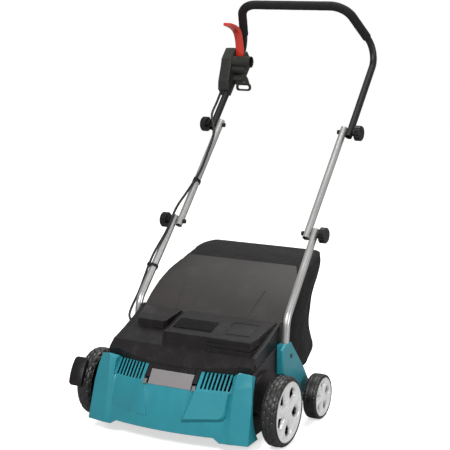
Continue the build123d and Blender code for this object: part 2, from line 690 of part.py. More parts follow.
with BuildPart() as motor_rotor:
    rod(side(PULLEY_X[0] - 1), MOTOR, MOTOR_SHAFT_R, 66 - PULLEY_X[0])
    rod(side(-85), MOTOR, MOTOR_R - 17, 120)
finish(motor_rotor.part, "motor_rotor")

with BuildPart() as cooling_fan:
    rod(side(-128), MOTOR, 36, 2)
    rod(side(-128), MOTOR, 10, 14)
    with BuildSketch(side(-128)) as vanes:
        with Locations(MOTOR):
            with PolarLocations(0, 9):
                Polygon((9, 0), (35, 6), (35, 9), (9, 3), align=None)
    extrude(vanes.sketch, amount=12)
    rod(side(-130), MOTOR, MOTOR_SHAFT_R, 30, mode=Mode.SUBTRACT)
finish(cooling_fan.part, "cooling_fan")


# ---------------------------------------------------------------- rear flap
def flap_outline(inset):
    """Plan outline of the flap: parallel by the hinge, drawn in towards the back."""
    half = [(FLAP_HALF, 110), (FLAP_HALF, 160), (199, 205), (191, 250), (178, 290), (163, 318)]
    right = [(x - inset, y) for x, y in half]
    return right + [(-x, y) for x, y in right[::-1]]


def flap_volume(profile, inset):
    """A domed side profile, trimmed to the flap's plan outline."""
    start, middle, end = profile[:3]
    with BuildPart() as volume:
        with BuildSketch(side()) as dome:
            with BuildLine():
                ThreePointArc(start, middle, end)
                Polyline(*profile[2:], start)
            make_face()
        extrude(dome.sketch, amount=FLAP_HALF, both=True)
        with BuildSketch(top(0)) as plan:
            Polygon(*flap_outline(inset), align=None)
        extrude(plan.sketch, amount=500, mode=Mode.INTERSECT)
    return volume.part


def flap_rib(arm):
    """One of the two stiffening ribs that run back over the dome."""
    with BuildPart() as rib:
        slab(top(200), [(arm * 105, 134), (arm * 119, 212), (arm * 121.5, 212), (arm * 107.5, 134)], 200)
        add(flap_volume([(128, 277.5), (209, 333.8), (318, 385.5), (318, 381), (209, 329), (128, 272)], 0),
            mode=Mode.INTERSECT)
    return rib.part


with BuildPart() as rear_flap:
    add(flap_volume([(128, 276), (209, 332), (318, 384), (319, 377), (235, 338), (142, 250),
                     (128, 262)], 0))
    add(flap_volume([(136, 278), (209, 328.6), (315, 379), (315, 200), (136, 200)], WALL),
        mode=Mode.SUBTRACT)
    # hinge barrel with its moulded pins
    rod(side(-FLAP_HALF), FLAP_HINGE, 6, 2 * FLAP_HALF)
    rod(side(-206.8), FLAP_HINGE, HINGE_PIN_R, 413.6)
    for arm in (-1, 1):
        add(flap_rib(arm))
finish(rear_flap.part, "rear_flap")


# ---------------------------------------------------------------- collection bag
BAG_WALL = 3.0
BAG_SIDE = [(158, 262), (235, 332), (318, 372), (400, 389), (468, 394), (450, 352), (412, 291),
            (404, 218), (421, 128), (374, 90), (310, 80), (262, 84), (230, 112), (158, 138)]
BAG_PLAN = [(190, 158), (190, 228), (196, 262), (196, 330), (192, 430), (170, 470)]
BAG_FRONT = [(176, 60), (180, 218), (192, 352), (192, 420)]


def both_sides(points):
    """A closed outline from its right-hand half."""
    return points + [(-x, y) for x, y in points[::-1]]


def bag_volume(inset):
    """Outside of the bag, or its hollow when inset by the cloth."""
    with BuildPart() as volume:
        with BuildSketch(side()) as profile:
            Polygon(*BAG_SIDE, align=None)
            offset(amount=-inset, mode=Mode.REPLACE)
        extrude(profile.sketch, amount=300, both=True)
        with BuildSketch(top(0)) as plan:
            Polygon(*both_sides(BAG_PLAN), align=None)
            offset(amount=-inset, mode=Mode.REPLACE)
        extrude(plan.sketch, amount=500, mode=Mode.INTERSECT)
        with BuildSketch(side_front()) as front:
            Polygon(*both_sides(BAG_FRONT), align=None)
            offset(amount=-inset, mode=Mode.REPLACE)
        extrude(front.sketch, amount=600, both=True, mode=Mode.INTERSECT)
    return volume.part


with BuildPart() as bag_fabric:
    add(bag_volume(0))
    add(bag_volume(BAG_WALL), mode=Mode.SUBTRACT)
    slab(side(), [(150, 144.5), (170, 137.2), (170, 268), (150, 250)], 187, both=True,
         mode=Mode.SUBTRACT)
finish(bag_fabric.part, "bag_fabric")

FRAME_WIRE_R = 4.0
FRAME_X = 182.0
with BuildPart() as bag_frame:
    for z in (150.0, 250.0):
        rod(side(-FRAME_X), (165, z), FRAME_WIRE_R, 2 * FRAME_X)
    for arm in (-1, 1):
        with BuildSketch(top(150)) as leg:
            with Locations((arm * FRAME_X, 165)):
                Circle(FRAME_WIRE_R)
        extrude(leg.sketch, amount=100)
        # ear that lies on the deck's rest
        with BuildSketch(Plane.XZ.offset(-FRONT_AXLE_Y - 165)) as ear_neck:
            with Locations((arm * FRAME_X, 250)):
                Circle(FRAME_WIRE_R)
        extrude(ear_neck.sketch, amount=12)
        rod(side(arm * (FRAME_X - 3)), (153, 250), FRAME_WIRE_R, arm * 21)
        for corner in ((165, 150), (165, 250), (153, 250)):
            with Locations(place(arm * FRAME_X, *corner)):
                Sphere(FRAME_WIRE_R)
finish(bag_frame.part, "bag_frame")


# ---------------------------------------------------------------- switch box on the left tube
BOX = [(468, -14), (468, 15), (486, 31), (528, 50), (548, 62), (590, 62), (602, 50), (602, -4),
       (592, -14)]
BOX_SET_BACK = [(512, -14), (512, 8), (522, 13), (556, 13), (564, 20), (573, 40), (588, 44),
                (602, 36), (602, -4), (592, -14)]
BOX_WALL = 2.5
INLET_AT = (554, 43)
STRAIN_AT = (538, 27.5)
BUTTON_AT = (556, 4)
BUTTON_R = 6.0

with BuildPart() as upper_core:
    with BuildSketch(Plane(origin=upper_axis.line @ 0, z_dir=upper_axis.line % 0)):
        Circle(TUBE_R)
    sweep(path=upper_axis.wire())


def box_shell(outline, start_x, end_x, closed_x):
    """Hollow piece of the switch box between two places on X, with a wall at the closed one."""
    inner_start = start_x + BOX_WALL if closed_x == start_x else start_x
    inner_end = end_x - BOX_WALL if closed_x == end_x else end_x
    with BuildPart() as shell:
        slab(handle(start_x), outline, end_x - start_x)
        closed_face = shell.faces().sort_by(Axis.X)[0 if closed_x == start_x else -1]
        fillet(closed_face.edges(), radius=2.4)
        with BuildSketch(handle(inner_start)) as hollow:
            Polygon(*outline, align=None)
            offset(amount=-BOX_WALL, mode=Mode.REPLACE)
        extrude(hollow.sketch, amount=inner_end - inner_start, mode=Mode.SUBTRACT)
    return shell.part


def lever_way(start_x, end_x):
    """What is cut out of the box for the handle tube, the lever and its pivot."""
    with BuildPart() as way:
        add(upper_core.part)
        slab(handle(LEVER_X[0] - 1), [(560, 16), (560, 70), (612, 70), (612, 16)],
             LEVER_X[1] - LEVER_X[0] + 2)
        rod(handle(start_x), LEVER_PIVOT, LEVER_PIN_R + RUN, end_x - start_x)
    return way.part


with BuildPart() as switch_box_outer:
    add(box_shell(BOX, BOX_X[0], BOX_SPLIT, BOX_X[0]))
    rod(handle(BOX_X[0] + 1), LEVER_PIVOT, 6, 23)
    add(lever_way(BOX_X[0] + 1.5, 0), mode=Mode.SUBTRACT)
finish(switch_box_outer.part, "switch_box_outer")

with BuildPart() as switch_box_inner:
    add(box_shell(BOX, BOX_SPLIT, BOX_STEP, BOX_STEP))
    add(box_shell(BOX_SET_BACK, BOX_STEP, BOX_X[1], BOX_X[1]))
    add(lever_way(-300, BOX_X[1] - 1.5), mode=Mode.SUBTRACT)
    rod(handle(-190), BUTTON_AT, BUTTON_R + RUN, 20, mode=Mode.SUBTRACT)
finish(switch_box_inner.part, "switch_box_inner")

with BuildPart() as power_inlet:
    rod(handle(INLET_X[0]), INLET_AT, INLET_R, INLET_X[1] - INLET_X[0])
    rod(handle(INLET_X[0] + 16), INLET_AT, INLET_BORE_R, 60, mode=Mode.SUBTRACT)
    rod(handle(INLET_X[1] - 12), INLET_AT, INLET_MOUTH_R, 20, mode=Mode.SUBTRACT)
    for pin_side in (-1, 1):
        rod(handle(INLET_X[0] + 15), (INLET_AT[0], INLET_AT[1] + pin_side * 6), 2, 28)
    with BuildSketch(handle(INLET_X[0])) as strain_sleeve:
        with Locations(STRAIN_AT):
            Circle(13)
        with Locations(INLET_AT):
            Circle(INLET_R - 1, mode=Mode.SUBTRACT)
    extrude(strain_sleeve.sketch, amount=39)
finish(power_inlet.part, "power_inlet")

HOOK_BEHIND = 676.0
HOOK_X = -172.0
HOOK_Z = 823.0
with BuildPart() as strain_relief_hook:
    hook_plane = Plane(origin=place(0, HOOK_BEHIND + 3, 0), x_dir=(1, 0, 0), z_dir=(0, -1, 0))
    with BuildSketch(hook_plane) as hook:
        with Locations((HOOK_X, HOOK_Z)):
            RectangleRounded(48, 22, 9)
        Polygon((HOOK_X - 17, HOOK_Z + 7), (HOOK_X - 7, 841), (HOOK_X - 6, 862.6),
                (HOOK_X + 4, 862.6), (HOOK_X + 13, 850), (HOOK_X + 20, HOOK_Z + 7), align=None)
        with Locations((HOOK_X, HOOK_Z)):
            RectangleRounded(36, 11, 5, mode=Mode.SUBTRACT)
        with Locations((HOOK_X + 1, 843)):
            RectangleRounded(5, 14, 2, mode=Mode.SUBTRACT)
    extrude(hook.sketch, amount=6)
finish(strain_relief_hook.part, "strain_relief_hook")

with BuildPart() as power_switch:
    slab(handle(-234), [(500, 14), (500, 30), (526, 38), (526, 14)], 16)
finish(power_switch.part, "power_switch")

with BuildPart() as lock_button:
    rod(handle(-187), BUTTON_AT, BUTTON_R, 14)
    fillet(lock_button.faces().sort_by(Axis.X)[-1].edges(), radius=1.5)
finish(lock_button.part, "lock_button")

with BuildPart() as switch_lever:
    with BuildSketch(side(LEVER_X[0])) as blade_side:
        with BuildLine():
            Spline((712, 902), (703, 930), (697, 956), (682, 990), (644, 1009), (608, 1016))
            Line((608, 1016), (606, 1008))
            Spline((606, 1008), (640, 1000), (670, 984), (685, 954), (690, 926), (698, 902))
            Line((698, 902), (712, 902))
        make_face()
    extrude(blade_side.sketch, amount=LEVER_X[1] - LEVER_X[0])
    pivot_start = BOX_X[0] + 2
    rod(handle(pivot_start), LEVER_PIVOT, LEVER_PIN_R, BOX_X[1] - BOX_X[0] - 4)
finish(switch_lever.part, "switch_lever")


# ---------------------------------------------------------------- cable from box to deck
def share(start, end, along):
    """Point where the run from start to end passes a place along the handle."""
    start_along = handle().to_local_coords(start).X
    end_along = handle().to_local_coords(end).X
    return start + (end - start) * ((start_along - along) / (start_along - end_along))


upper_points = [on_handle(-229.5, 468, 10), on_handle(-229.5, 425, 7), on_handle(-228, 388, 13),
                on_handle(-221, 362, 19)]
middle_points = [on_handle(-203, 330, 19), on_handle(-190, 296, 15.5), on_handle(-186, 246, 19),
                 on_handle(-184, 205, 19), on_handle(-185, 170, 16), on_handle(-192, 138, 13.8),
                 on_handle(-199, 100, 15), on_handle(-203, 72, 18), on_handle(-207, 46, 22),
                 on_handle(-212, 20, 20)]
lower_points = [on_handle(-213.5, -12, 16), on_handle(-214, -45, 15), on_handle(-219, -80, 15),
                on_handle(-228, -118, 11), on_handle(-229.5, -156, 9.5), place(-235, 184, 338),
                place(-237, 154, 299), place(-237, 113, 266), place(-227, 84, 248),
                place(-206, 70, 243)]
upper_split = share(upper_points[-1], middle_points[0], HANDLE_STEP)
lower_split = share(middle_points[-1], lower_points[0], 0)
routes = (("cable_upper", upper_points + [upper_split]),
          ("cable_middle", [upper_split] + middle_points + [lower_split]),
          ("cable_lower", [lower_split] + lower_points))
for cable_name, points in routes:
    radii = corner_radii(points)
    with BuildPart() as cable:
        with BuildLine() as cable_route:
            FilletPolyline(*points, radius=radii)
        with BuildSketch(Plane(origin=cable_route.line @ 0, z_dir=cable_route.line % 0)):
            Circle(CABLE_R)
        sweep(path=cable_route.wire())
    section_volume = pi * CABLE_R ** 2 * cable_route.wire().length
    print(cable_name, "radii", [round(radius) for radius in radii],
          "length", round(cable_route.wire().length), "volume", round(cable.part.volume),
          "section by length", round(section_volume))
    finish(cable.part, cable_name)


def cable_clip(tube_centre, cable_centre, along):
    """Two-eyed clip that ties the cable to a handle tube."""
    plane = Plane(origin=on_handle(0, along + 4, 0), x_dir=(1, 0, 0), z_dir=(0, -1, -1))
    with BuildPart() as clip:
        with BuildSketch(plane) as band:
            with Locations(tube_centre):
                Circle(TUBE_R + 2.2)
            with Locations(cable_centre):
                Circle(CABLE_R + 2.2)
            make_hull()
            with Locations(tube_centre):
                Circle(TUBE_R + 0.1, mode=Mode.SUBTRACT)
            with Locations(cable_centre):
                Circle(CABLE_R + 0.1, mode=Mode.SUBTRACT)
        extrude(band.sketch, amount=8)
    return clip.part


finish(cable_clip((-INNER_TUBE_X, 0), (-192, 13.8), 138), "cable_clip_middle")
finish(cable_clip((-217.7, 0), (-229.5, 9), -156), "cable_clip_lower")


# ---------------------------------------------------------------- screws
with BuildPart() as cover_screws:
    for arm in (-1, 1):
        rod(side(arm * 195), SIDE_SCREW, 2.5, arm * 11)
        rod(side(arm * COVER_HALF), SIDE_SCREW, 5, arm * 2)
        rod(side(arm * 222), BRACKET_HOLE, 3, arm * 11)
        rod(side(arm * BRACKET_X[1]), BRACKET_HOLE, 5.5, arm * 1.5)
finish(cover_screws.part, "cover_screws")
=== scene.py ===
import json
import math

import bmesh
import bpy
import numpy as np
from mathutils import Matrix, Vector, noise
from mathutils.bvhtree import BVHTree


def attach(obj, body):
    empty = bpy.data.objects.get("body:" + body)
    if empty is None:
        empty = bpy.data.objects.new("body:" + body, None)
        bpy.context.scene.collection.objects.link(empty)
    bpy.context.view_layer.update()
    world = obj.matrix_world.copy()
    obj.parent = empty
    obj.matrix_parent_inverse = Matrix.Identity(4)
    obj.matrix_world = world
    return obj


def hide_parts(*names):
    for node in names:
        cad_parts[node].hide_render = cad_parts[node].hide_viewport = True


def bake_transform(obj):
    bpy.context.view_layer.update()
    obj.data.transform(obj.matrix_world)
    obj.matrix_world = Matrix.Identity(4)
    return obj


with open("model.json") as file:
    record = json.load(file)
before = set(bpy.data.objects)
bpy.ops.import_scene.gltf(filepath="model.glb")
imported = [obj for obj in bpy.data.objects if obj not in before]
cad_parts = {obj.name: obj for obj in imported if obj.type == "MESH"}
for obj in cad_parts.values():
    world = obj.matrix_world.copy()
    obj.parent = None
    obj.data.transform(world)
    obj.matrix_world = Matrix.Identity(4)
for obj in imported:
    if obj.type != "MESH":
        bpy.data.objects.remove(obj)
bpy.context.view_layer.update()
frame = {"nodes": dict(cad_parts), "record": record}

scene = bpy.context.scene
nodes = frame["nodes"]

# ---------------------------------------------------------------- places, in millimetres as in the CAD source
FRONT_AXLE_Y = -304.5
LOWER_JOINT = (318.0, 476.0)      # distance behind the front axle, and height
HANDLE_STEP = 346.5               # from the lower fold to the upper one
HANDLE_SLOPE = math.sqrt(0.5)     # sine and cosine of the handle's 45 degrees


def at(x, behind, z):
    """A point from X, distance behind the front axle and height, all in millimetres."""
    return Vector((x, FRONT_AXLE_Y + behind, z)) / 1000


def on_handle(x, along, out):
    """A point from X, distance up the 45 degree handle line and distance in front of it."""
    return at(x, LOWER_JOINT[0] + HANDLE_SLOPE * (along - out), LOWER_JOINT[1] + HANDLE_SLOPE * (along + out))


def behind_axle(point):
    """Distance behind the front axle, in millimetres, of a point in metres."""
    return point[1] * 1000 - FRONT_AXLE_Y


# ---------------------------------------------------------------- camera
CAMERA_PLACE = Vector((1.50839, -3.07168, 1.18232))
CAMERA_TARGET = Vector((-0.1063, 0.1181, 0.4533))

camera = bpy.data.objects.new("camera", bpy.data.cameras.new("camera"))
scene.collection.objects.link(camera)
camera.location = CAMERA_PLACE
camera.rotation_mode = "QUATERNION"
camera.rotation_quaternion = (CAMERA_TARGET - camera.location).to_track_quat("-Z", "Y")
camera.data.sensor_width = 36
camera.data.lens = 102.06
camera.data.clip_end = 50
scene.camera = camera


# ---------------------------------------------------------------- mesh tools
extra_pieces = []


def new_piece(name, mesh, body, slot_name, *replaced):
    """Smooth-shaded object from a mesh, riding on a body and standing for the CAD nodes it replaces."""
    made = bpy.data.objects.new(name, mesh)
    scene.collection.objects.link(made)
    mesh.polygons.foreach_set("use_smooth", [True] * len(mesh.polygons))
    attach(made, body)
    if replaced:
        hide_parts(*replaced)
    extra_pieces.append((made, slot_name))
    return made


def tube_mesh(name, points, radius, steps, roundness, closed=False):
    """Mesh of a round tube on a smooth curve whose control points are given."""
    curve = bpy.data.curves.new(name, "CURVE")
    curve.dimensions = "3D"
    curve.resolution_u = steps
    curve.bevel_depth = radius
    curve.bevel_resolution = roundness
    curve.use_fill_caps = not closed
    spline = curve.splines.new("NURBS")
    spline.points.add(len(points) - 1)
    for knot, point in zip(spline.points, points):
        knot.co = (*point, 1)
    spline.order_u = 3
    spline.use_endpoint_u = not closed
    spline.use_cyclic_u = closed
    carrier = bpy.data.objects.new(name + "_route", curve)
    mesh = bpy.data.meshes.new_from_object(carrier)
    bpy.data.objects.remove(carrier)
    mesh.name = name
    mesh.polygons.foreach_set("use_smooth", [True] * len(mesh.polygons))
    return mesh


def grid_mesh(name, rows, close_rows, close_columns):
    """Mesh over a grid of points; rows and columns can each run round into a ring."""
    count, wide = len(rows), len(rows[0])
    faces = []
    for i in range(count if close_rows else count - 1):
        for j in range(wide if close_columns else wide - 1):
            here, across = i * wide, (i + 1) % count * wide
            after = (j + 1) % wide
            faces.append((here + j, here + after, across + after, across + j))
    mesh = bpy.data.meshes.new(name)
    mesh.from_pydata([point for row in rows for point in row], [], faces)
    tidy_normals(mesh)
    return mesh


def tidy_normals(mesh):
    """Point every face of a closed mesh outwards."""
    work = bmesh.new()
    work.from_mesh(mesh)
    bmesh.ops.remove_doubles(work, verts=work.verts, dist=1e-6)
    bmesh.ops.recalc_face_normals(work, faces=work.faces)
    work.to_mesh(mesh)
    work.free()


def smooth_step(value, low, high):
    """0 below low, 1 above high, smooth between."""
    t = min(1.0, max(0.0, (value - low) / (high - low)))
    return t * t * (3 - 2 * t)


def evaluated_mesh(thing, name):
    """The mesh of an object with its modifiers applied."""
    ready = thing.evaluated_get(bpy.context.evaluated_depsgraph_get())
    mesh = bpy.data.meshes.new_from_object(ready)
    mesh.name = name
    return mesh


def interpolate(pairs, value):
    """Straight-line reading of a table of (place, size) pairs."""
    return float(np.interp(value, [a for a, _ in pairs], [b for _, b in pairs]))


# ---------------------------------------------------------------- cable, on the CAD source's points
def split_between(start, end, joint_along):
    """Where the run between two cable points crosses a fold joint's plane."""
    centre = at(0, *LOWER_JOINT)
    reach = [((point - centre).y + (point - centre).z) * (HANDLE_SLOPE * 1000) for point in (start, end)]
    return start.lerp(end, (joint_along - reach[0]) / (reach[1] - reach[0]))


upper_points = [on_handle(-229.5, 468, 10), on_handle(-229.5, 425, 7), on_handle(-228, 388, 13),
                on_handle(-221, 362, 19)]
middle_points = [on_handle(-203, 330, 19), on_handle(-190, 296, 15.5), on_handle(-186, 246, 19),
                 on_handle(-184, 205, 19), on_handle(-185, 170, 16), on_handle(-192, 138, 13.8),
                 on_handle(-199, 100, 15), on_handle(-203, 72, 18), on_handle(-207, 46, 22),
                 on_handle(-212, 20, 20)]
lower_points = [on_handle(-213.5, -12, 16), on_handle(-214, -45, 15), on_handle(-219, -80, 15),
                on_handle(-228, -118, 11), on_handle(-229.5, -156, 9.5), at(-235, 184, 338),
                at(-237, 154, 299), at(-237, 113, 266), at(-227, 84, 248), at(-206, 70, 243)]
upper_split = split_between(upper_points[-1], middle_points[0], HANDLE_STEP)
lower_split = split_between(middle_points[-1], lower_points[0], 0)
CABLE_RADIUS = 0.0035


def cable(name, points):
    """One span of the cable as an object, its route's points being the curve's control points."""
    tube = bpy.data.objects.new(name, tube_mesh(name, points, CABLE_RADIUS, 8, 4))
    scene.collection.objects.link(tube)
    return tube


cables = {"cable_upper": cable("upper_cable", upper_points + [upper_split]),
          "cable_middle": cable("middle_cable", [upper_split] + middle_points + [lower_split]),
          "cable_lower": cable("lower_cable", [lower_split] + lower_points)}
for node, tube in cables.items():
    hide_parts(node)
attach(cables["cable_middle"], "middle_handle")
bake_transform(cables["cable_upper"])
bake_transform(cables["cable_lower"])


# ---------------------------------------------------------------- collection bag
BAG_SIDE = [(158, 262), (235, 332), (318, 372), (400, 392), (472, 400), (452, 352), (414, 291),
            (406, 218), (424, 128), (377, 88), (312, 78), (262, 82), (230, 112), (158, 138)]
HALF_BY_BEHIND = [(158, 190), (228, 190), (262, 196), (330, 196), (430, 192), (470, 170)]
HALF_BY_HEIGHT = [(60, 176), (218, 180), (352, 192), (420, 192)]
FLAP_LINE = [(158, 262), (235, 332), (318, 372), (400, 389)]
REAR_EDGE = (470, 399)            # the stiffened top rear edge: distance behind the axle, and height
CORNER_X = 176                    # where that edge's two rounded corners begin
BLOCK_HALF = 200.0                # half width of the block before it is narrowed to the bag's
VOXEL = 0.006
SMOOTHING_PASSES = 14
SIMULATED_FRAMES = 20
BAG_CAP = 0.011                   # no point moves further than this in the simulation
MOUTH_WALL = 172                  # the wall with the mouth lies nearer to the front axle than this
MOUTH_HALF = 0.178
MOUTH_BOTTOM = 0.146
MOUTH_TOP = 0.252


def bag_half(behind, z):
    """Half width of the bag at a place in its side view, in millimetres."""
    return min(interpolate(HALF_BY_BEHIND, behind), interpolate(HALF_BY_HEIGHT, z))


def bag_block():
    """Closed block, evenly gridded, with the bag's side outline and the same width everywhere."""
    work = bmesh.new()
    ends = [[work.verts.new(at(arm * BLOCK_HALF, *corner)) for corner in BAG_SIDE] for arm in (-1, 1)]
    work.faces.new(ends[0])
    work.faces.new(ends[1][::-1])
    for i in range(len(BAG_SIDE)):
        j = (i + 1) % len(BAG_SIDE)
        work.faces.new((ends[0][i], ends[1][i], ends[1][j], ends[0][j]))
    bmesh.ops.recalc_face_normals(work, faces=work.faces)
    mesh = bpy.data.meshes.new("bag_block")
    work.to_mesh(mesh)
    work.free()
    block = bpy.data.objects.new("bag_block", mesh)
    scene.collection.objects.link(block)
    remesh = block.modifiers.new("grid", "REMESH")
    remesh.mode = "VOXEL"
    remesh.voxel_size = VOXEL
    gridded = evaluated_mesh(block, "bag_grid")
    bpy.data.objects.remove(block)
    return gridded


def shape_bag(mesh):
    """Narrow the block to the bag's width and soften its edges, least at the mouth and the top rear edge."""
    points = np.empty(len(mesh.vertices) * 3)
    mesh.vertices.foreach_get("co", points)
    points = points.reshape(-1, 3)
    edges = np.empty(len(mesh.edges) * 2, dtype=np.int64)
    mesh.edges.foreach_get("vertices", edges)
    edges = edges.reshape(-1, 2)
    for index, point in enumerate(points):
        points[index, 0] *= bag_half(behind_axle(point), point[2] * 1000) / BLOCK_HALF
    neighbours = np.bincount(edges.ravel(), minlength=len(points))[:, None]
    soft = np.clip((points[:, 1:2] * 1000 - FRONT_AXLE_Y - 172) / 50, 0, 1) * 0.5
    # a stiffener keeps the top rear edge crisp between its two rounded corners
    from_edge = np.hypot(points[:, 1:2] * 1000 - FRONT_AXLE_Y - REAR_EDGE[0],
                         points[:, 2:3] * 1000 - REAR_EDGE[1])
    inboard = np.clip((CORNER_X - np.abs(points[:, 0:1]) * 1000) / 20, 0, 1)
    soft *= 1 - 0.86 * inboard * np.clip(1.6 - from_edge / 14, 0, 1)
    for _ in range(SMOOTHING_PASSES):
        total = np.zeros_like(points)
        np.add.at(total, edges[:, 0], points[edges[:, 1]])
        np.add.at(total, edges[:, 1], points[edges[:, 0]])
        points += (total / neighbours - points) * soft
    mesh.vertices.foreach_set("co", points.ravel())
    mesh.update()


def held(point):
    """How firmly the mouth, the flap and the rear edge's stiffener hold a point of the bag, from 0 to 1."""
    behind, z = behind_axle(point), point[2] * 1000
    mouth = 1 - smooth_step(behind, 178, 215)
    roof = interpolate(FLAP_LINE, behind)
    under_flap = smooth_step(z, roof - 30, roof - 8) * (1 - smooth_step(behind, 322, 350))
    rear_edge = 1 - smooth_step(math.hypot(behind - REAR_EDGE[0], z - REAR_EDGE[1]), 8, 24)
    return max(mouth, under_flap, 0.9 * rear_edge)


def inflate(mesh):
    """Cloth simulation: air pressure swells the panels between the held mouth and the flap."""
    cloth_object = bpy.data.objects.new("bag_in_simulation", mesh)
    scene.collection.objects.link(cloth_object)
    group = cloth_object.vertex_groups.new(name="held")
    for vertex in mesh.vertices:
        group.add([vertex.index], held(vertex.co), "REPLACE")
    cloth = cloth_object.modifiers.new("cloth", "CLOTH")
    fabric = cloth.settings
    fabric.quality = 5
    fabric.mass = 0.3
    fabric.tension_stiffness = 12
    fabric.compression_stiffness = 6
    fabric.shear_stiffness = 5
    fabric.bending_stiffness = 0.4
    fabric.vertex_group_mass = "held"
    fabric.use_pressure = True
    fabric.uniform_pressure_force = 4
    fabric.effector_weights.gravity = 0
    cloth.point_cache.frame_start = 1
    cloth.point_cache.frame_end = SIMULATED_FRAMES
    for step in range(1, SIMULATED_FRAMES + 1):
        scene.frame_set(step)
    swollen = evaluated_mesh(cloth_object, "bag_swollen")
    bpy.data.objects.remove(cloth_object)
    scene.frame_set(1)
    return swollen


def crumple(mesh):
    """Push the loose cloth in and out by a few millimetres: broad waves, drag folds and small dents."""
    normals = [vertex.normal.copy() for vertex in mesh.vertices]
    for vertex, normal in zip(mesh.vertices, normals):
        loose = 1 - held(vertex.co)
        spot = vertex.co
        broad = noise.noise(Vector((spot.x * 7, spot.y * 9, spot.z * 5)))
        drag = noise.noise(Vector(((spot.x + 0.8 * spot.z) * 26, spot.y * 16, (spot.z - 0.5 * spot.y) * 9)))
        crease = (1 - abs(drag)) ** 6
        sink = noise.noise(Vector((spot.x * 45, spot.y * 45, spot.z * 30)))
        vertex.co += normal * loose * (0.0016 * broad - 0.0019 * crease + 0.0004 * sink)
    mesh.update()


def open_mouth(mesh):
    """Cut the bag's mouth out of the wall that faces the deck."""
    work = bmesh.new()
    work.from_mesh(mesh)
    mouth_faces = []
    for face in work.faces:
        middle = face.calc_center_median()
        on_wall = face.normal.y < -0.6 and middle.y < at(0, MOUTH_WALL, 0).y
        if on_wall and abs(middle.x) < MOUTH_HALF and MOUTH_BOTTOM < middle.z < MOUTH_TOP:
            mouth_faces.append(face)
    bmesh.ops.delete(work, geom=mouth_faces, context="FACES")
    work.to_mesh(mesh)
    work.free()


bag_mesh = bag_block()
shape_bag(bag_mesh)
flat_points = [vertex.co.copy() for vertex in bag_mesh.vertices]
bag_mesh = inflate(bag_mesh)
for start, vertex in zip(flat_points, bag_mesh.vertices):
    move = vertex.co - start
    if move.length > BAG_CAP:
        vertex.co = start + move.normalized() * BAG_CAP
bag_mesh.update()
crumple(bag_mesh)
open_mouth(bag_mesh)
bag = new_piece("bag_shell", bag_mesh, "bag", "bag_cloth", "bag_fabric")
thick = bag.modifiers.new("cloth_thickness", "SOLIDIFY")
thick.thickness = 0.0018
thick.offset = -1
finer = bag.modifiers.new("finer", "SUBSURF")
finer.levels = finer.render_levels = 1
bag_surface = BVHTree.FromPolygons([vertex.co for vertex in bag_mesh.vertices],
                                   [polygon.vertices[:] for polygon in bag_mesh.polygons])


def bag_trim(name, points, radius, closed=False, snap=False):
    """Round cord of cloth along points, each first moved onto the bag's surface if asked."""
    route = [bag_surface.find_nearest(point)[0] for point in points] if snap else points
    return new_piece(name, tube_mesh(name, route, radius, 3, 3, closed), "bag", "bag_cloth")


def along(points, step):
    """Points every step along a run of points."""
    result = []
    for start, end in zip(points, points[1:]):
        parts = max(1, round((end - start).length / step))
        result += [start.lerp(end, k / parts) for k in range(parts)]
    return result + [points[-1]]


for side_name, arm in (("left", -1), ("right", 1)):
    outline = [at(arm * (bag_half(y, z) + 4), y, z) for y, z in BAG_SIDE]
    bag_trim("bag_piping_" + side_name, along(outline, 0.012), 0.0017, snap=True)
rear_seam = [at(x, 474, 402) for x in (-188, -120, -60, 0, 60, 120, 188)]
bag_trim("bag_rear_seam", along(rear_seam, 0.012), 0.0014, snap=True)
mouth_hem = [at(x, 158.5, z) for x, z in ((-180, 145), (180, 145), (180, 253), (-180, 253), (-180, 145))]
bag_trim("bag_mouth_hem", along(mouth_hem, 0.02)[:-1], 0.0022, closed=True)


# ---------------------------------------------------------------- foam grip
UPPER_CORNER = at(214, 772, 933)
TOP_CORNER = at(162.5, 641, 1068)
HANDLE_BEND = 0.060
FOAM_RADIUS = 0.013
FOAM_BORE = 0.01015
FOAM_STEP = 0.003                 # from one ring of the sleeve to the next
FOAM_SIDES = 40
SEAM_ANGLE = 4.2                  # where round the sleeve its moulding seam runs


def bent_path(points, radius, step):
    """Points along straight runs joined by arcs of one radius."""
    route = [points[0]]
    for before, corner, after in zip(points, points[1:], points[2:]):
        back, ahead = (before - corner).normalized(), (after - corner).normalized()
        half = back.angle(ahead) / 2
        start, end = corner + back * radius / math.tan(half), corner + ahead * radius / math.tan(half)
        centre = corner + (back + ahead).normalized() * radius / math.sin(half)
        route += along([route[-1], start], step)[1:]
        turns = max(6, round(radius * (math.pi - 2 * half) / step))
        for k in range(1, turns + 1):
            spoke = (start - centre).lerp(end - centre, k / turns)
            route.append(centre + spoke.normalized() * radius)
    return route + along([route[-1], points[-1]], step)[1:]


def mirrored_point(point):
    """The same point on the machine's other side."""
    return Vector((-point.x, point.y, point.z))


foam_start = UPPER_CORNER + (TOP_CORNER - UPPER_CORNER).normalized() * (HANDLE_BEND + 0.001)
foam_line = bent_path([mirrored_point(foam_start), mirrored_point(TOP_CORNER), TOP_CORNER, foam_start],
                      HANDLE_BEND, FOAM_STEP)
